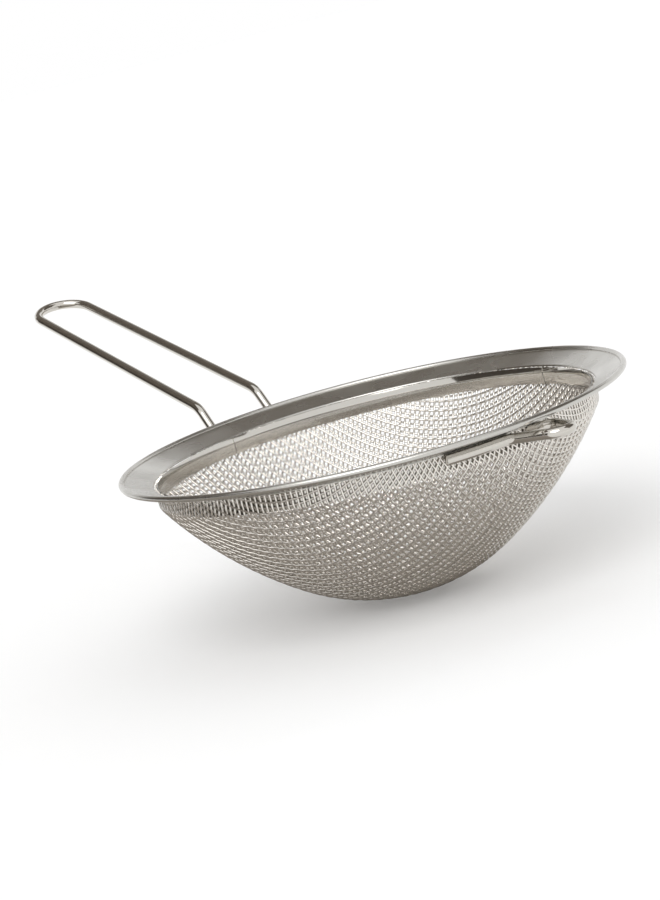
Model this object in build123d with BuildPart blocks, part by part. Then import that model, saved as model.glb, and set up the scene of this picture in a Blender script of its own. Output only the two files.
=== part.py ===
from build123d import *
import math
import os

os.makedirs("parts", exist_ok=True)

# Tea strainer: a domed wire-cloth basket clamped in a wide sheet-steel rim, with a
# looped wire handle and, opposite it, a wire rest hook.
# Units are mm and +Z is up. The origin is on the bowl's axis, in the plane where the
# hook and the handle legs sit on the rim of a cup. The handle points along -X.

# Driving sizes
RIM_DIA = 90.0            # over the rolled edge
BEAD_DIA = 1.05           # rolled edge of the rim
SHEET_T = 0.3             # rim sheet
FLANGE_WIDTH = 5.8        # rolled edge to bowl mouth, measured flat
FLANGE_DROP = 1.75        # how far the rim slopes down towards the bowl
LIP_DROP = 0.2            # short turned-down inner edge of the rim
FOLD_RADIUS = 0.25        # bend between the sloping rim and its lip
CLOTH_T = 0.6             # two crossing wires of the cloth
BAND_T = 0.3              # inner retaining band
BAND_HEIGHT = 3.1
BAND_RECESS = 0.1         # band and cloth edge stand this far below the fold
BOWL_DEPTH = 31.0         # rolled edge centre to the lowest point of the cloth
BOWL_NOSE_R = 35.0        # round bottom of the bowl
BOWL_SIDE_R = 72.0        # flatter side of the bowl
WIRE_DIA = 1.8            # handle and hook wire
HANDLE_REACH = 113.9      # bowl axis to the centre line of the handle's end
HANDLE_LIFT = 23.1        # handle's end above the rolled edge
LEG_HALF_ROOT = 6.4       # half the spacing of the handle legs at the rim
LEG_HALF_END = 5.6        # half the spacing where the round end begins
KINK_OUT = 4.5            # handle kink, outwards from the rolled edge
KINK_LIFT = 3.55          # handle kink, above the rolled edge
LEG_BEND_R = 5.0
HOOK_TURN = 7.0           # degrees round the rim from straight opposite the handle
HOOK_REACH = 3.2          # hook's centre line beyond the rim
HOOK_HALF_ROOT = 4.6
HOOK_HALF_TIP = 2.5
HOOK_BEND_R = 2.0
FOOT_OUT_DEG = 17.0       # welded foot turned outwards along the collar
FOOT_IN_DEG = 6.5         # welded foot turned inwards under the hook

# Fits
WIRE_GAP = 0.05           # wires pass this far below the rim sheet
BEAD_GAP = 0.15           # handle legs bend this far clear of the rolled edge
WELD_SINK = 0.1           # flat of the welded contact between wire and collar

# Derived sizes
RIM_R = RIM_DIA / 2
BEAD_R = BEAD_DIA / 2
WIRE_R = WIRE_DIA / 2
BEAD_C = RIM_R - BEAD_R
MOUTH_R = RIM_R - FLANGE_WIDTH
CLOTH_R = MOUTH_R
BAND_OUT_R = CLOTH_R - CLOTH_T
BAND_IN_R = BAND_OUT_R - BAND_T
FOLD_C = MOUTH_R + SHEET_T / 2
FLANGE_ANGLE = math.atan2(FLANGE_DROP, BEAD_C - FOLD_C)
SLOPE = math.tan(FLANGE_ANGLE)
HALF_RISE = SHEET_T / 2 / math.cos(FLANGE_ANGLE)
LIP_BOTTOM = -FLANGE_DROP - LIP_DROP
FOOT_R = CLOTH_R + WIRE_R - WELD_SINK
LIP_MISS = FOOT_R - MOUTH_R - SHEET_T   # sideways from the lip's corner to the feet
HOOK_Z = LIP_BOTTOM - math.sqrt((WIRE_R + WIRE_GAP) ** 2 - LIP_MISS**2)
RIM_Z = WIRE_R - HOOK_Z   # rolled edge centre above the origin plane
BAND_TOP = -FLANGE_DROP - BAND_RECESS
BAND_BOTTOM = BAND_TOP - BAND_HEIGHT


def up(z):
    """Height above the origin plane of a height given from the rolled edge."""
    return RIM_Z + z


# Rim: rolled edge, sloping flange and short lip, turned about the bowl's axis
def sheet_top(r):
    return (r - BEAD_C) * SLOPE + HALF_RISE


def sheet_under(r):
    return (r - BEAD_C) * SLOPE - HALF_RISE


with BuildPart() as rim_flange:
    with BuildSketch(Plane.XZ):
        with BuildLine():
            Polyline(
                (BEAD_C, up(sheet_top(BEAD_C))),
                (MOUTH_R, up(sheet_top(MOUTH_R))),
                (MOUTH_R, up(LIP_BOTTOM)),
                (MOUTH_R + SHEET_T, up(LIP_BOTTOM)),
                (MOUTH_R + SHEET_T, up(sheet_under(MOUTH_R + SHEET_T))),
                (BEAD_C, up(sheet_under(BEAD_C))),
                close=True,
            )
        make_face()
        with Locations((BEAD_C, up(0))):
            Circle(BEAD_R)
    revolve(axis=Axis.Z)
    fold = rim_flange.edges().filter_by(GeomType.CIRCLE).filter_by(
        lambda e: abs(e.radius - MOUTH_R) < SHEET_T / 10
    )
    fillet(fold.sort_by(Axis.Z)[-1], radius=FOLD_RADIUS)
rim_flange.part.label = "rim_flange"

# Inner band that clamps the cloth against the lip
with BuildPart() as retaining_band:
    with BuildSketch(Plane.XY.offset(up(BAND_BOTTOM))):
        Circle(BAND_OUT_R)
        Circle(BAND_IN_R, mode=Mode.SUBTRACT)
    extrude(amount=BAND_HEIGHT)
retaining_band.part.label = "retaining_band"


# Basket: a straight collar round the band, then a flatter side and a round bottom
def arc_at(centre, radius, angle):
    return (centre[0] + radius * math.cos(angle), centre[1] + radius * math.sin(angle))


# The side's arc leaves the band's lower corner and runs smoothly into the round bottom
NOSE_C = (0.0, BOWL_NOSE_R - BOWL_DEPTH)
fall = BAND_BOTTOM - NOSE_C[1]
reach = math.hypot(BAND_OUT_R, fall)
spread = BOWL_SIDE_R - BOWL_NOSE_R
along = (spread**2 - (BOWL_SIDE_R - CLOTH_T) ** 2 + reach**2) / (2 * reach)
across = math.sqrt(spread**2 - along**2)
SIDE_C = (
    (along * BAND_OUT_R - across * fall) / reach,
    NOSE_C[1] + (along * fall + across * BAND_OUT_R) / reach,
)
BLEND = math.atan2(NOSE_C[1] - SIDE_C[1], NOSE_C[0] - SIDE_C[0])


def bowl_line(inset):
    """Collar, side and bottom of the cloth, inset from its outer face."""
    radius = CLOTH_R - inset
    side_r = BOWL_SIDE_R - inset
    nose_r = BOWL_NOSE_R - inset
    start = -math.acos((radius - SIDE_C[0]) / side_r)
    corner = arc_at(SIDE_C, side_r, start)
    side_mid = arc_at(SIDE_C, side_r, (start + BLEND) / 2)
    side_end = arc_at(SIDE_C, side_r, BLEND)
    nose_mid = arc_at(NOSE_C, nose_r, (BLEND - math.pi / 2) / 2)
    nose_end = (0.0, NOSE_C[1] - nose_r)
    points = [(radius, BAND_TOP), corner, side_mid, side_end, nose_mid, nose_end]
    return [(r, up(z)) for r, z in points]


with BuildPart() as mesh_basket:
    with BuildSketch(Plane.XZ):
        with BuildLine():
            ends = []
            for inset in (0.0, CLOTH_T):
                top, corner, side_mid, side_end, nose_mid, nose_end = bowl_line(inset)
                Line(top, corner)
                ThreePointArc(corner, side_mid, side_end)
                ThreePointArc(side_end, nose_mid, nose_end)
                ends.append((top, nose_end))
            Line(ends[0][0], ends[1][0])
            Line(ends[0][1], ends[1][1])
        make_face()
    revolve(axis=Axis.Z)
mesh_basket.part.label = "mesh_basket"

# Handle: one wire, up over the rolled edge from the collar, out to a round end and back
BEAD_AT_LEG = math.sqrt(BEAD_C**2 - (LEG_HALF_ROOT - WIRE_R) ** 2)
BEAD_PASS = BEAD_R + WIRE_R + BEAD_GAP
KINK = (BEAD_AT_LEG + BEAD_R + KINK_OUT, KINK_LIFT)
to_bead = math.atan2(KINK[1], KINK[0] - BEAD_AT_LEG)
steep = to_bead + math.asin(BEAD_PASS / math.hypot(KINK[0] - BEAD_AT_LEG, KINK[1]))
under_x = BEAD_AT_LEG + BEAD_PASS * math.sin(FLANGE_ANGLE)
under_z = -BEAD_PASS * math.cos(FLANGE_ANGLE)
drop = KINK[1] - under_z - (KINK[0] - under_x) * math.tan(FLANGE_ANGLE)
knee_run = drop / (math.tan(steep) - math.tan(FLANGE_ANGLE))
KNEE = (KINK[0] - knee_run, KINK[1] - knee_run * math.tan(steep))
ROOT_X = CLOTH_R - 2 * WIRE_R
ROOT = (ROOT_X, under_z - (under_x - ROOT_X) * math.tan(FLANGE_ANGLE))
SLANT = math.atan2(HANDLE_LIFT - KINK[1], HANDLE_REACH - KINK[0])
BEND_X = HANDLE_REACH - LEG_HALF_END * math.cos(SLANT)
BEND = (BEND_X, KINK[1] + (BEND_X - KINK[0]) * math.tan(SLANT))


def leg_half(x):
    """Half the leg spacing, narrowing evenly from the rim to the round end."""
    part = (x - BEAD_AT_LEG) / (BEND_X - BEAD_AT_LEG)
    return LEG_HALF_ROOT + (LEG_HALF_END - LEG_HALF_ROOT) * part


def leg_points(side):
    return [(-x, side * leg_half(x), up(z)) for x, z in (ROOT, KNEE, KINK, BEND)]


with BuildPart() as handle_wire:
    with BuildLine() as handle_path:
        near_leg = leg_points(-1)
        far_leg = leg_points(1)
        heading = Vector(*near_leg[3]) - Vector(*near_leg[2])
        FilletPolyline(*near_leg, radius=LEG_BEND_R)
        TangentArc(near_leg[3], far_leg[3], tangent=heading)
        FilletPolyline(*reversed(far_leg), radius=LEG_BEND_R)
    with BuildSketch(Plane(handle_path.wire() @ 0, z_dir=handle_path.wire() % 0)):
        Circle(WIRE_R)
    sweep(path=handle_path.wire())
    with Locations((0, 0, up(BAND_BOTTOM))):
        Cylinder(CLOTH_R, BOWL_DEPTH, mode=Mode.SUBTRACT)
handle_wire.part.label = "handle_wire"

# Rest hook: a tapering wire loop that reaches out under the rim, its feet on the collar
TIP_X = RIM_R + HOOK_REACH - HOOK_HALF_TIP
ROOT_ANGLE = math.degrees(math.asin(HOOK_HALF_ROOT / FOOT_R))

with BuildPart() as rest_hook:
    with BuildLine(Plane.XY.offset(up(HOOK_Z))) as hook_path:
        root_x = FOOT_R * math.cos(math.radians(ROOT_ANGLE))
        tip = (TIP_X + HOOK_HALF_TIP, 0)
        CenterArc((0, 0), FOOT_R, -ROOT_ANGLE - FOOT_OUT_DEG, FOOT_OUT_DEG)
        Line((root_x, -HOOK_HALF_ROOT), (TIP_X, -HOOK_HALF_TIP))
        ThreePointArc((TIP_X, -HOOK_HALF_TIP), tip, (TIP_X, HOOK_HALF_TIP))
        Line((TIP_X, HOOK_HALF_TIP), (root_x, HOOK_HALF_ROOT))
        CenterArc((0, 0), FOOT_R, ROOT_ANGLE, -FOOT_IN_DEG)
        roots = hook_path.vertices().filter_by(
            lambda v: abs(abs(v.Y) - HOOK_HALF_ROOT) < WELD_SINK and v.X > root_x - WELD_SINK
        )
        fillet(roots, radius=HOOK_BEND_R)
    hook_wire = hook_path.wire()
    with BuildSketch(Plane(hook_wire @ 0, z_dir=hook_wire % 0)):
        Circle(WIRE_R)
    sweep(path=hook_wire)
    with Locations((0, 0, up(BAND_BOTTOM))):
        Cylinder(CLOTH_R, BOWL_DEPTH, mode=Mode.SUBTRACT)
rest_hook.part = rest_hook.part.rotate(Axis.Z, HOOK_TURN)
rest_hook.part.label = "rest_hook"

pieces = (rim_flange, retaining_band, mesh_basket, handle_wire, rest_hook)
for piece in pieces:
    export_step(piece.part, f"parts/{piece.part.label}.step")
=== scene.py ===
import math

import bmesh
import bpy
import numpy as np
from mathutils import Matrix, Vector


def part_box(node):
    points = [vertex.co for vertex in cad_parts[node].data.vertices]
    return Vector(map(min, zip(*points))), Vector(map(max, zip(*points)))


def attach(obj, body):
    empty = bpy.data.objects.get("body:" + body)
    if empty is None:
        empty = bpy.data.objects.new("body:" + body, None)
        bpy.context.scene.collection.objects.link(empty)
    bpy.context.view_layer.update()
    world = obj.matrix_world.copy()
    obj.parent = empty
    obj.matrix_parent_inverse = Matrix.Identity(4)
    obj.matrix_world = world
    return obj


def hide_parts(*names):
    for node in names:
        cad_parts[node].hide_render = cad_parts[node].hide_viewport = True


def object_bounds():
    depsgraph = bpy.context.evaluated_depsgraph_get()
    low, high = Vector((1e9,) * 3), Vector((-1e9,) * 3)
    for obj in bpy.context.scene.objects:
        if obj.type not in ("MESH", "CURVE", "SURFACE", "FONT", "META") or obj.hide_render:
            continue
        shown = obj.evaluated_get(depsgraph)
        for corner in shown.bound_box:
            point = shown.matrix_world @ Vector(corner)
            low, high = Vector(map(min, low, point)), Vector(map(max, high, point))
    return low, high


# %% [markdown]
# ## A tea strainer
# The strainer is a bowl of woven steel wire held in a wide sheet-steel rim. A band inside
# the mouth clamps the cloth, one bent wire makes the handle, and a small wire hook stands
# opposite it. The sheet and the thick wires come straight from the CAD model, which is
# exact for such plain shapes. The cloth is the one piece that CAD leaves as a plain shell,
# so it is woven here, wire by wire. All lengths are in metres and +Z is up, with the
# handle along -X and the origin where the hook and the legs would sit on a cup.

# %% The CAD model as the frame
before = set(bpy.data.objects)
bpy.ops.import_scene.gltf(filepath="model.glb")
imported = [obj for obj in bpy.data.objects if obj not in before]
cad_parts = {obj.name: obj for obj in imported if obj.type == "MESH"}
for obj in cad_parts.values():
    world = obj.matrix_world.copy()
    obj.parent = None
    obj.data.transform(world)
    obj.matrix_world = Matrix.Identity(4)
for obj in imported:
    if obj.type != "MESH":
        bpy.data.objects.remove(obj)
LOW_BEFORE, HIGH_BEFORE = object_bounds()
MM = 0.001
print("CAD pieces:", sorted(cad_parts))
print("CAD box:", [round(v / MM, 2) for v in (*LOW_BEFORE, *HIGH_BEFORE)], "mm")

# %% [markdown]
# ## Colours and materials
# A colour is written as a hex value, as in any paint program, and one function turns it
# into the linear values that the renderer adds light with. Another small function adds a
# node with its settings and links, so that a material reads as a short list of steps. A
# third turns points and faces into a piece of sheet with smooth curves and sharp edges.
# Steel has no colour of its own under a clear coat: it is all reflection. So each finish
# below differs mainly in its roughness, which is how finely the surface was polished.

# %% Helpers for colours, nodes, materials and sheet pieces
SHARP_EDGE = math.radians(40)


def colour(hex_value):
    """The linear red, green, blue and alpha of an sRGB hex colour."""
    channels = [int(hex_value[i:i + 2], 16) / 255 for i in (1, 3, 5)]
    return (*(c / 12.92 if c <= 0.04045 else ((c + 0.055) / 1.055) ** 2.4 for c in channels), 1.0)


def add_node(tree, kind, inputs=None, **settings):
    """A new node with its settings, and its inputs set to a value or linked to a socket."""
    made = tree.nodes.new(kind)
    for name, value in settings.items():
        setattr(made, name, value)
    for key, value in (inputs or {}).items():
        if isinstance(value, bpy.types.NodeSocket):
            tree.links.new(value, made.inputs[key])
        else:
            made.inputs[key].default_value = value
    return made


def steel(name, base, roughness):
    """A bare metal with one colour and one roughness; a metal keeps the default IOR."""
    material = bpy.data.materials.new(name)
    material.use_nodes = True
    shader = material.node_tree.nodes["Principled BSDF"]
    shader.inputs["Base Color"].default_value = colour(base)
    shader.inputs["Metallic"].default_value = 1.0
    shader.inputs["Roughness"].default_value = roughness
    return material, shader


def sheet_piece(name, points, faces, material):
    """A smooth-shaded object that keeps its folds and cut edges sharp."""
    mesh = bpy.data.meshes.new(name)
    mesh.from_pydata(points, [], faces)
    mesh.materials.append(material)
    mesh.shade_smooth()
    mesh.set_sharp_from_angle(angle=SHARP_EDGE)
    piece = bpy.data.objects.new(name, mesh)
    bpy.context.scene.collection.objects.link(piece)
    return piece


print("mid grey #808080 is", round(colour("#808080")[0], 3), "in linear light")

# %% [markdown]
# ## Polished sheet
# The rim and the band are stainless sheet, spun on a lathe and polished while they turn.
# The polish leaves fine rings round the axis and cloudy patches where it bit less. The
# rings are noise read along the radius and stretched round the circle: the radius and the
# angle are worked out from Object coordinates, so the rings stay on the metal. Real polish
# lines are about 0.02 mm apart, too fine to show, so they are drawn 0.35 mm apart.

# %% Finish of the rim and the band
POLISH_LINE = 0.35 * MM
CLOUD_SIZE = 9 * MM


def spun_steel(name, base, roughness, cloud, ring_height):
    """Polished sheet with fine rings round the bowl's axis and cloudy patches."""
    material, shader = steel(name, base, roughness)
    tree = material.node_tree
    place = add_node(tree, "ShaderNodeTexCoord").outputs["Object"]
    split = add_node(tree, "ShaderNodeSeparateXYZ", {0: place})
    flat = add_node(
        tree, "ShaderNodeCombineXYZ", {"X": split.outputs["X"], "Y": split.outputs["Y"]}
    )
    radius = add_node(tree, "ShaderNodeVectorMath", {0: flat.outputs[0]}, operation="LENGTH")
    angle = add_node(
        tree, "ShaderNodeMath", {0: split.outputs["Y"], 1: split.outputs["X"]}, operation="ARCTAN2"
    )
    lines = add_node(
        tree,
        "ShaderNodeMath",
        {0: radius.outputs["Value"], 1: 1 / POLISH_LINE},
        operation="MULTIPLY",
    )
    rings = add_node(
        tree, "ShaderNodeCombineXYZ", {"X": lines.outputs[0], "Y": angle.outputs[0]}
    )
    ring_noise = add_node(
        tree, "ShaderNodeTexNoise", {"Vector": rings.outputs[0], "Scale": 1.0, "Detail": 3.0}
    )
    bump = add_node(
        tree,
        "ShaderNodeBump",
        {"Height": ring_noise.outputs["Fac"], "Strength": 1.0, "Distance": ring_height},
    )
    tree.links.new(bump.outputs["Normal"], shader.inputs["Normal"])
    cloud_noise = add_node(
        tree, "ShaderNodeTexNoise", {"Vector": place, "Scale": 1 / CLOUD_SIZE, "Detail": 2.0}
    )
    patches = add_node(
        tree,
        "ShaderNodeMapRange",
        {
            "Value": cloud_noise.outputs["Fac"],
            "From Min": 0.3,
            "From Max": 0.7,
            "To Min": roughness - cloud,
            "To Max": roughness + cloud,
        },
    )
    tree.links.new(patches.outputs["Result"], shader.inputs["Roughness"])
    return material


RIM_STEEL = spun_steel("satin polished stainless sheet", "#C6C4BF", 0.26, 0.07, 0.004 * MM)
BAND_STEEL = spun_steel("bright polished stainless band", "#CBC8C2", 0.08, 0.03, 0.001 * MM)
print("sheet finishes:", RIM_STEEL.name, "and", BAND_STEEL.name)

# %% [markdown]
# ## Wire finishes
# The handle and the hook are spring wire, tumbled to a mirror shine: a low roughness gives
# the hard dark core and bright edges of a polished rod. The cloth's wires are drawn and
# then woven, which leaves them bright but a little duller.

# %% Finish of the handle, the hook and the cloth's wires
ROD_STEEL = steel("mirror polished stainless wire", "#CDC9C2", 0.09)[0]
CLOTH_STEEL = steel("drawn stainless cloth wire", "#E2DED8", 0.16)[0]
finishes = {
    "rim_flange": RIM_STEEL,
    "retaining_band": BAND_STEEL,
    "handle_wire": ROD_STEEL,
    "rest_hook": ROD_STEEL,
    "mesh_basket": CLOTH_STEEL,
}
for node_name, finish in finishes.items():
    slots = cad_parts[node_name].material_slots
    for slot in slots:
        slot.material = finish
    print(node_name, "is", finish.name, "on", len(slots), "slot")

# %% [markdown]
# ## The band inside the mouth
# The band is a strip of sheet, rolled slightly round across its height and bent into a
# hoop. The CAD model keeps it flat, which reflects like a plain wall. The rounding is less
# than a quarter of a millimetre, but it gives the band its bright upper and dark lower
# edge, so the hoop is turned again here from a half-section with a curved inner face.

# %% Rounded band
band_low, band_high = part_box("retaining_band")
BAND_OUT_R = band_high.x
BAND_T = 0.3 * MM
BAND_IN_R = BAND_OUT_R - BAND_T
ROUNDING = 0.24 * MM
AROUND = 240       # steps round the axis
FACE_POINTS = 13   # points up the rounded face


def turned(name, half_section, material):
    """A closed half-section of (radius, height) points turned about the bowl's axis."""
    size = len(half_section)
    turns = [2 * math.pi * k / AROUND for k in range(AROUND)]
    points = [(r * math.cos(a), r * math.sin(a), z) for a in turns for r, z in half_section]
    faces = []
    for k in range(AROUND):
        here, there = k * size, (k + 1) % AROUND * size
        for p in range(size):
            q = (p + 1) % size
            faces.append((here + p, there + p, there + q, here + q))
    return sheet_piece(name, points, faces, material)


middle_z = (band_low.z + band_high.z) / 2
half_height = (band_high.z - band_low.z) / 2
inner_face = [
    (BAND_IN_R + ROUNDING * t * t, middle_z + half_height * t)
    for t in np.linspace(-1, 1, FACE_POINTS)
]
section = [(BAND_OUT_R, band_high.z), (BAND_OUT_R, band_low.z), *inner_face]
band = turned("rolled_band", section, BAND_STEEL)
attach(band, "root")
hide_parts("retaining_band")
print("rolled_band has", len(band.data.polygons), "faces")

# %% [markdown]
# The hoop is closed where its strip ends lap over each other, which shows as a small step
# on the inner face. There are two such laps: one near the handle, one at the side.

# %% Lapped ends of the band
LAP_THICK = 0.1 * MM   # how far a lap stands inside the band's face
LAP_SPAN = math.radians(3.5)
LAP_STEPS = 4
laps = {"band_lap_handle_side": math.radians(187), "band_lap_far_side": math.radians(92)}

for name, start in laps.items():
    outline = [(r + LAP_THICK / 2, z) for r, z in inner_face]
    outline += [(r - LAP_THICK, z) for r, z in reversed(inner_face)]
    size = len(outline)
    turns = [start + LAP_SPAN * k / LAP_STEPS for k in range(LAP_STEPS + 1)]
    points = [(r * math.cos(a), r * math.sin(a), z) for a in turns for r, z in outline]
    faces = []
    for k in range(LAP_STEPS):
        here, there = k * size, (k + 1) * size
        for p in range(size):
            q = (p + 1) % size
            faces.append((here + p, there + p, there + q, here + q))
    faces += [tuple(range(size)), tuple(LAP_STEPS * size + p for p in reversed(range(size)))]
    lap = sheet_piece(name, points, faces, BAND_STEEL)
    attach(lap, "root")
    check = bmesh.new()
    check.from_mesh(lap.data)
    print(name, "volume", round(check.calc_volume(signed=True) / MM**3, 3), "mm3")
    check.free()

# %% [markdown]
# ## The bowl's surface
# The cloth lies on a turned surface: a straight collar round the band, a flatter side and
# a round bottom. Each part of its half-section is a line or an arc, so the distance from
# any point to the surface is a simple formula. The weaving below needs that distance and
# its slope, which is also the surface's outward direction. The sizes are the CAD model's,
# and the surface is the middle of the cloth, where over and under wires meet. The woven
# cloth is 0.8 mm thick over its ribs, 0.2 mm more than the CAD shell, all on the inside.

# %% Half-section of the cloth
WIRE_DIA = 0.42 * MM       # real wire is nearer 0.3 mm; drawn thicker so that its rows show
CRIMP = 0.05 * MM          # how far a wire swings out and in as it passes the others
STAND_OUT = 0.14 * MM      # how far every second row stands out, and the row between in
CLOTH_T = 0.6 * MM         # the CAD shell's thickness
BOWL_DEPTH = 31.0 * MM     # rolled edge's centre to the lowest point
NOSE_R = 35.0 * MM         # outside of the round bottom
SIDE_R = 72.0 * MM         # outside of the flatter side
BEAD_R = 0.525 * MM        # rolled edge of the rim

cloth_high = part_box("mesh_basket")[1]
RIM_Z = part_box("rim_flange")[1].z - BEAD_R
MIDDLE = WIRE_DIA / 2 + CRIMP + STAND_OUT   # middle surface, inwards from the outer face
COLLAR_R = cloth_high.x - MIDDLE
CLOTH_TOP = cloth_high.z
TINY = 1e-9                # keeps a division away from zero
nose_c = (0.0, RIM_Z - BOWL_DEPTH + NOSE_R)

# the side's arc meets the band's lower outer corner on its inner face, and the round
# bottom without a step
drop = band_low.z - nose_c[1]
reach = math.hypot(band_high.x, drop)
spread = SIDE_R - NOSE_R
along = (spread**2 - (SIDE_R - CLOTH_T) ** 2 + reach**2) / (2 * reach)
across = math.sqrt(spread**2 - along**2)
side_c = (
    (along * band_high.x - across * drop) / reach,
    nose_c[1] + (along * drop + across * band_high.x) / reach,
)
side_r = SIDE_R - MIDDLE
nose_r = NOSE_R - MIDDLE
CORNER_Z = side_c[1] - math.sqrt(side_r**2 - (COLLAR_R - side_c[0]) ** 2)
blend_angle = math.atan2(nose_c[1] - side_c[1], nose_c[0] - side_c[0])
BLEND_Z = side_c[1] + side_r * math.sin(blend_angle)


def surface(points):
    """Each point's distance outside the cloth's middle surface, and the way outwards."""
    radius = np.hypot(points[:, 0], points[:, 1])
    height = points[:, 2]
    collar = height >= CORNER_Z
    side = (height < CORNER_Z) & (height > BLEND_Z)
    centre_r = np.where(side, side_c[0], nose_c[0])
    centre_z = np.where(side, side_c[1], nose_c[1])
    arc_r = np.where(side, side_r, nose_r)
    away = np.hypot(radius - centre_r, height - centre_z)
    distance = np.where(collar, radius - COLLAR_R, away - arc_r)
    slope_r = np.where(collar, 1.0, (radius - centre_r) / away)
    slope_z = np.where(collar, 0.0, (height - centre_z) / away)
    turn = slope_r / np.maximum(radius, TINY)
    outward = np.stack([turn * points[:, 0], turn * points[:, 1], slope_z], axis=1)
    return distance, outward


LOWEST = nose_c[1] - nose_r
print("collar radius", round(COLLAR_R / MM, 2), "mm, lowest point", round(LOWEST / MM, 2))

# %% [markdown]
# ## Draping the cloth
# Wire cloth starts flat and square. Pressed into a bowl it can't stretch, because its
# wires are stiff lengthways, so the squares turn into diamonds while every side keeps its
# length. Such a net is fixed by the two wires that cross at the bottom of the bowl: each
# further crossing is the one point of the surface that is one spacing away from two
# crossings already known. Newton's method finds it in a few steps, for a whole diagonal of
# crossings at a time. The bowl is the same all round, so one quarter is worked out and
# mirrored. The cloth lies turned by 33 degrees to the handle.

# %% Crossings of one quarter of the cloth
PITCH = 0.96 * MM
WEAVE_TURN = math.radians(33.0)
COUNT = 58           # crossings from the bottom to past the cloth's edge
NEWTON_STEPS = 12
LONGEST_STEP = 0.4   # of the pitch, so that a guess can't jump over the answer
ALLOWED_MISS = 0.02  # of the pitch


def first_wire():
    """Crossings along a wire that runs straight up the bowl from its lowest point."""
    spots = [(0.0, LOWEST)]
    heading = 0.0
    for _ in range(COUNT):
        r, z = spots[-1]
        probe = np.array([[r + PITCH * math.cos(heading), 0.0, z + PITCH * math.sin(heading)]])
        distance, outward = surface(probe)
        new_r = probe[0, 0] - distance[0] * outward[0, 0]
        new_z = probe[0, 2] - distance[0] * outward[0, 2]
        heading = math.atan2(new_z - z, new_r - r)
        spots.append((r + PITCH * math.cos(heading), z + PITCH * math.sin(heading)))
    return np.array(spots)


def next_crossings(left, right, behind):
    """The points one spacing from left and from right, on the far side from behind."""
    guess = left + right - behind
    for _ in range(NEWTON_STEPS):
        distance, outward = surface(guess)
        to_left, to_right = guess - left, guess - right
        miss = np.stack(
            [
                (to_left**2).sum(1) - PITCH**2,
                (to_right**2).sum(1) - PITCH**2,
                distance * PITCH,
            ],
            axis=1,
        )
        slopes = np.stack([2 * to_left, 2 * to_right, outward * PITCH], axis=1)
        slopes += np.eye(3) * TINY
        step = np.linalg.solve(slopes, miss[:, :, None])[:, :, 0]
        length = np.linalg.norm(step, axis=1, keepdims=True)
        limit = LONGEST_STEP * PITCH / np.maximum(length, TINY * MM)
        guess = guess - step * np.minimum(1.0, limit)
    return guess


straight = first_wire()
quarter = np.full((COUNT + 1, COUNT + 1, 3), np.nan)
quarter[:, 0] = np.stack([straight[:, 0], 0 * straight[:, 0], straight[:, 1]], axis=1)
quarter[0, :] = np.stack([0 * straight[:, 0], straight[:, 0], straight[:, 1]], axis=1)
for total in range(2, 2 * COUNT + 1):
    rows = np.arange(max(1, total - COUNT), min(COUNT, total - 1) + 1)
    cols = total - rows
    left, right = quarter[rows, cols - 1], quarter[rows - 1, cols]
    behind = quarter[rows - 1, cols - 1]
    known = ~np.isnan(left[:, 0] + right[:, 0] + behind[:, 0])
    known &= np.maximum(left[:, 2], right[:, 2]) < CLOTH_TOP + PITCH
    if not known.any():
        continue
    rows, cols = rows[known], cols[known]
    found = next_crossings(left[known], right[known], behind[known])
    miss = np.abs(np.linalg.norm(found - left[known], axis=1) - PITCH)
    found[miss > ALLOWED_MISS * PITCH] = np.nan
    quarter[rows, cols] = found
inside = quarter[:, :, 2] <= CLOTH_TOP
print("crossings in one quarter:", int(inside.sum()))

# %% [markdown]
# ## Wires that pass over and under
# Each wire is a line through its crossings. The cloth is ribbed: every second wire of the
# first set lies outside and the one between lies inside, both nearly straight, while the
# wires of the second set weave in and out between them. That makes the bright rows round
# the bowl. A small wave of +1 and -1, from crossing to crossing, is added to both sets.
# Three short steps from one crossing to the next are enough for a round swing at this
# size. Where the band clamps the cloth against the rim it is pressed almost flat. The line
# keeps three notes at every point: which way is outwards, how far the small wave has
# swung, and how proud the wire stands. Geometry Nodes turn these into steel wires. The
# wires are drawn so thick that they bite into each other where they cross: 0.04 mm at one
# crossing and 0.24 mm at the next.

# %% Lines of the wires
STEPS = 3
PRESSED = 0.2               # share of the weave's height left where the band clamps it
PRESSED_OVER = 2.0 * MM     # how far below the band the cloth springs back


def crossing(i, j):
    """The crossing i places along the first wire and j along the second, either side."""
    x, y, z = quarter[abs(i), abs(j)]
    return np.array([math.copysign(x, i) if i else 0.0, math.copysign(y, j) if j else 0.0, z])


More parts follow.
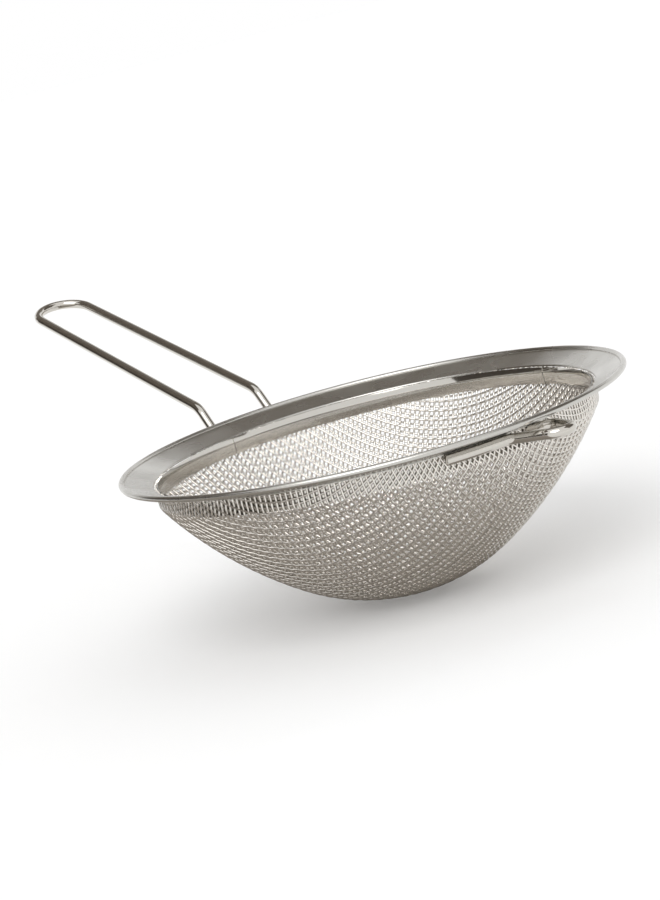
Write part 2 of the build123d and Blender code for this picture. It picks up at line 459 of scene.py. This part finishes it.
def wire_line(number, first_set):
    """One wire up to the cloth's edge: points, way outwards, swing and how proud it stands."""
    ends = []
    for way in (-1, 1):
        run = []
        for k in range(0 if way > 0 else 1, COUNT):
            i, j = (way * k, number) if first_set else (number, way * k)
            spot = crossing(i, j)
            if np.isnan(spot[0]):
                break
            run.append((way * k, spot))
            if spot[2] > CLOTH_TOP:
                break
        ends.append(run)
    run = ends[0][::-1] + ends[1]
    if len(run) < 3:
        return None
    places = np.array([spot for _, spot in run])
    counts = np.array([k for k, _ in run], float)
    fine = np.linspace(counts[0], counts[-1], (len(run) - 1) * STEPS + 1)
    points = np.stack([np.interp(fine, counts, places[:, axis]) for axis in range(3)], axis=1)
    for _ in range(2):   # back onto the surface; the second pass catches the corners
        distance, outward = surface(points)
        points = points - outward * distance[:, None]
    keep = points[:, 2] <= CLOTH_TOP
    if keep.sum() < STEPS:
        return None
    middle = np.argmin(points[:, 2])
    lower = middle
    while lower > 0 and keep[lower - 1]:
        lower -= 1
    upper = middle
    while upper < len(points) - 1 and keep[upper + 1]:
        upper += 1
    part = slice(lower, upper + 1)
    outward = surface(points[part])[1]
    over = 1 if first_set else -1
    wave = over * math.cos(math.pi * number) * np.cos(math.pi * fine[part])
    row = np.full(len(wave), float(number)) if first_set else fine[part]
    proud = over * np.cos(math.pi * row)
    # clamped round the band, the cloth is pressed flat and lies against its own outer face
    free = np.clip((band_low.z - points[part][:, 2]) / PRESSED_OVER, 0, 1)[:, None]
    hug = outward * (1 - free) * (MIDDLE - CLOTH_T / 2)
    loose = PRESSED + (1 - PRESSED) * free[:, 0]
    return points[part] + hug, outward, wave * loose, proud * loose


print("wire through the bottom:", len(wire_line(0, True)[0]), "points")
cos_turn, sin_turn = math.cos(WEAVE_TURN), math.sin(WEAVE_TURN)
TURN = np.array([[cos_turn, sin_turn, 0], [-sin_turn, cos_turn, 0], [0, 0, 1]])


def wires_mesh(name, first_set, numbers):
    """A mesh of bare edges, one chain for each wire, with the weave's notes on its points."""
    points, outward, wave, proud, edges = [], [], [], [], []
    for number in numbers:
        line = wire_line(number, first_set)
        if line is None:
            continue
        start = sum(len(p) for p in points)
        size = len(line[0])
        points.append(line[0] @ TURN)
        outward.append(line[1] @ TURN)
        wave.append(line[2])
        proud.append(line[3])
        edges += [(start + k, start + k + 1) for k in range(size - 1)]
    mesh = bpy.data.meshes.new(name)
    mesh.from_pydata(np.concatenate(points).tolist(), edges, [])
    notes = (
        ("outward", "FLOAT_VECTOR", outward, "vector"),
        ("wave", "FLOAT", wave, "value"),
        ("proud", "FLOAT", proud, "value"),
    )
    for note, kind, values, field in notes:
        layer = mesh.attributes.new(note, kind, "POINT")
        layer.data.foreach_set(field, np.concatenate(values).astype(np.float32).ravel())
    return mesh


# %% [markdown]
# ## From lines to steel
# The node tree is the same for every set of wires: push each point out by its wave, turn
# the edges into curves, sweep a small circle along them and close the ends. A five-sided
# circle with smooth shading looks round at this size and keeps the whole bowl light. The
# wires' thickness, swing and stand-out are inputs of the tree, so another cloth is only
# three numbers away.

# %% Node tree that sweeps the wires
SIDES = 5
tree = bpy.data.node_groups.new("Woven wires", "GeometryNodeTree")
tree.interface.new_socket("Geometry", in_out="INPUT", socket_type="NodeSocketGeometry")
INPUTS = {}
for label, value in (("Wire diameter", WIRE_DIA), ("Crimp", CRIMP), ("Stand out", STAND_OUT)):
    socket = tree.interface.new_socket(label, in_out="INPUT", socket_type="NodeSocketFloat")
    INPUTS[socket.identifier] = value
tree.interface.new_socket("Geometry", in_out="OUTPUT", socket_type="NodeSocketGeometry")
given = add_node(tree, "NodeGroupInput").outputs
outward_note = add_node(
    tree, "GeometryNodeInputNamedAttribute", {"Name": "outward"}, data_type="FLOAT_VECTOR"
)
wave_note = add_node(
    tree, "GeometryNodeInputNamedAttribute", {"Name": "wave"}, data_type="FLOAT"
)
proud_note = add_node(
    tree, "GeometryNodeInputNamedAttribute", {"Name": "proud"}, data_type="FLOAT"
)
swing = add_node(
    tree,
    "ShaderNodeMath",
    {0: wave_note.outputs["Attribute"], 1: given["Crimp"]},
    operation="MULTIPLY",
)
stand = add_node(
    tree,
    "ShaderNodeMath",
    {0: proud_note.outputs["Attribute"], 1: given["Stand out"]},
    operation="MULTIPLY",
)
push = add_node(
    tree, "ShaderNodeMath", {0: swing.outputs[0], 1: stand.outputs[0]}, operation="ADD"
)
shift = add_node(
    tree,
    "ShaderNodeVectorMath",
    {0: outward_note.outputs["Attribute"], "Scale": push.outputs[0]},
    operation="SCALE",
)
moved = add_node(
    tree,
    "GeometryNodeSetPosition",
    {"Geometry": given["Geometry"], "Offset": shift.outputs[0]},
)
curves = add_node(tree, "GeometryNodeMeshToCurve", {"Mesh": moved.outputs[0]})
half = add_node(
    tree, "ShaderNodeMath", {0: given["Wire diameter"], 1: 0.5}, operation="MULTIPLY"
)
ring = add_node(
    tree,
    "GeometryNodeCurvePrimitiveCircle",
    {"Resolution": SIDES, "Radius": half.outputs[0]},
    mode="RADIUS",
)
swept = add_node(
    tree,
    "GeometryNodeCurveToMesh",
    {"Curve": curves.outputs[0], "Profile Curve": ring.outputs[0], "Fill Caps": True},
)
smooth = add_node(tree, "GeometryNodeSetShadeSmooth", {"Geometry": swept.outputs[0]})
real = add_node(tree, "GeometryNodeRealizeInstances", {"Geometry": smooth.outputs[0]})
dressed = add_node(
    tree, "GeometryNodeSetMaterial", {"Geometry": real.outputs[0], "Material": CLOTH_STEEL}
)
add_node(tree, "NodeGroupOutput", {"Geometry": dressed.outputs[0]})
print("Woven wires:", len(tree.nodes), "nodes,", len(INPUTS), "sizes to set")


def weave(name, first_set, numbers):
    """One share of the cloth's wires as a plain mesh that stands for the CAD shell."""
    bare = wires_mesh(name + "_lines", first_set, numbers)
    lines = bpy.data.objects.new(name + "_lines", bare)
    bpy.context.scene.collection.objects.link(lines)
    sweep = lines.modifiers.new("Woven wires", "NODES")
    sweep.node_group = tree
    for identifier, value in INPUTS.items():
        sweep[identifier] = value
    bpy.context.view_layer.update()
    seen = bpy.context.evaluated_depsgraph_get()
    mesh = bpy.data.meshes.new_from_object(lines.evaluated_get(seen))
    lines.modifiers.remove(sweep)
    bpy.data.objects.remove(lines)
    mesh.name = name
    for note_name in ("outward", "wave", "proud"):
        if note_name in mesh.attributes:
            mesh.attributes.remove(mesh.attributes[note_name])
    piece = bpy.data.objects.new(name, mesh)
    bpy.context.scene.collection.objects.link(piece)
    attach(piece, "root")
    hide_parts("mesh_basket")
    triangles = sum(len(face.vertices) - 2 for face in mesh.polygons)
    print(name, len(mesh.polygons), "faces,", triangles, "triangles")


shares = {
    "cloth_wires_a_left": (True, range(-COUNT, 0)),
    "cloth_wires_a_right": (True, range(0, COUNT + 1)),
    "cloth_wires_b_left": (False, range(-COUNT, 0)),
    "cloth_wires_b_right": (False, range(0, COUNT + 1)),
}
for share, (first_set, numbers) in shares.items():
    weave(share, first_set, numbers)

# %% [markdown]
# ## Camera
# A long lens from a low angle, rolled so that the strainer seems to lie tipped towards
# its handle. The rim's centre sits a little right of and above the middle of the view.

# %% Camera
AZIMUTH, HEIGHT, ROLL = (math.radians(a) for a in (60.0, 10.01, -14.26))
LENS = 103.88         # millimetres
AWAY = 0.449
RIM_RIGHT = 0.00708   # rim's centre from the middle of the view
RIM_ABOVE = 0.00523

back = Vector((
    math.sin(AZIMUTH) * math.cos(HEIGHT),
    -math.cos(AZIMUTH) * math.cos(HEIGHT),
    math.sin(HEIGHT),
))
level = Vector((0, 0, 1)).cross(back).normalized()
upward = back.cross(level)
right = math.cos(ROLL) * level + math.sin(ROLL) * upward
above = -math.sin(ROLL) * level + math.cos(ROLL) * upward
place = Vector((0, 0, RIM_Z)) + back * AWAY - right * RIM_RIGHT - above * RIM_ABOVE
camera_data = bpy.data.cameras.new("camera")
camera_data.lens = LENS
camera_data.clip_start = 0.01
camera = bpy.data.objects.new("camera", camera_data)
turned_to = Matrix((right, above, back)).transposed().to_4x4()
camera.matrix_world = Matrix.Translation(place) @ turned_to
bpy.context.scene.collection.objects.link(camera)
bpy.context.scene.camera = camera
print("camera at", [round(v, 3) for v in place])

# %% [markdown]
# ## Studio
# Polished steel shows the room it stands in more than any lamp, so the room matters most.
# It is a white tent: a white world and a white floor. A wide soft lamp high on the viewer's
# side gives the strainer its shadow, which falls behind it and shows through the cloth.
# Four dark panels and a grey card on the table are seen only in reflections. They stand
# for the dark sides of a studio, and draw the dark cores of the wires and the shade on the
# far part of the rim.

# %% Floor, lamp, panels and world
PAPER_ROUGHNESS = 0.9
FLOOR_SIZE = 12
CARD_LIFT = 0.05 * MM
CARD_PLACE = (-0.03, -0.14)
LAMP_WIDTH = math.radians(45)   # how wide the lamp looks from the strainer
LAMP_STRENGTH = 1.1
TENT_LIGHT = 0.82               # the tent's light on dull surfaces; it is seen as 1


def matte(name, base):
    """A dull paint or paper of one colour."""
    material = bpy.data.materials.new(name)
    material.use_nodes = True
    shader = material.node_tree.nodes["Principled BSDF"]
    shader.inputs["Base Color"].default_value = colour(base)
    shader.inputs["Roughness"].default_value = PAPER_ROUGHNESS
    return material


def only_reflected(board):
    """Hides a board from everything except reflections."""
    board.visible_camera = False
    board.visible_diffuse = False
    board.visible_shadow = False


def flat_board(name, width, height, centre, facing, material):
    """A flat board with its front turned to a point."""
    bpy.ops.mesh.primitive_plane_add(size=1)
    board = bpy.context.object
    board.name = name
    board.scale = (width, height, 1)
    board.location = centre
    board.rotation_euler = (Vector(facing) - Vector(centre)).to_track_quat("Z", "Y").to_euler()
    board.data.materials.append(material)
    return board


floor_z = LOW_BEFORE[2]
paper = matte("white paper floor", "#FFFFFF")
flat_board("floor", FLOOR_SIZE, FLOOR_SIZE, (0, 0, floor_z), (0, 0, 1), paper)

rim_centre = Vector((0, 0, RIM_Z))
panels = {
    # name: direction from the rim, distance, width, height, colour
    "dark_corner": ((-0.61, -0.49, 0.62), 0.9, 0.9, 0.9, "#6A625A"),
    "dark_ceiling": ((-0.56, 0.32, 0.77), 1.0, 1.2, 0.8, "#7C766F"),
    "dark_side": ((-0.5, -0.87, 0.1), 0.6, 0.9, 0.5, "#4A443E"),
    "grey_wall": ((0.3, 0.75, 0.6), 0.9, 0.9, 0.7, "#6A645D"),
}
for name, (direction, distance, width, height, shade) in panels.items():
    centre = rim_centre + Vector(direction).normalized() * distance
    dull = matte(name.replace("_", " "), shade)
    only_reflected(flat_board(name, width, height, centre, rim_centre, dull))

card = matte("grey card", "#A09A92")
card_place = (*CARD_PLACE, floor_z + CARD_LIFT)
only_reflected(flat_board("grey_table_card", 0.16, 0.3, card_place, (*CARD_PLACE, 1), card))

lamp_data = bpy.data.lights.new("soft key", "SUN")
lamp_data.angle = LAMP_WIDTH
lamp_data.energy = LAMP_STRENGTH
lamp = bpy.data.objects.new("soft key", lamp_data)
lamp.location = (0.45, -0.45, 0.6)
lamp.rotation_euler = (-lamp.location).to_track_quat("-Z", "Y").to_euler()
bpy.context.scene.collection.objects.link(lamp)

world = bpy.data.worlds.new("white tent")
world.use_nodes = True
bpy.context.scene.world = world
sky = world.node_tree
path = add_node(sky, "ShaderNodeLightPath").outputs
seen = path["Is Camera Ray"]
for kind in ("Is Glossy Ray", "Is Transmission Ray"):
    seen = add_node(sky, "ShaderNodeMath", {0: seen, 1: path[kind]}, operation="MAXIMUM").outputs[0]
level_node = add_node(
    sky, "ShaderNodeMapRange", {"Value": seen, "To Min": TENT_LIGHT, "To Max": 1.0}
)
tent = sky.nodes["Background"]
tent.inputs["Color"].default_value = (1, 1, 1, 1)
sky.links.new(level_node.outputs["Result"], tent.inputs["Strength"])
bpy.context.scene.view_settings.view_transform = "Standard"
print("studio:", len(panels), "panels, one card, one lamp")
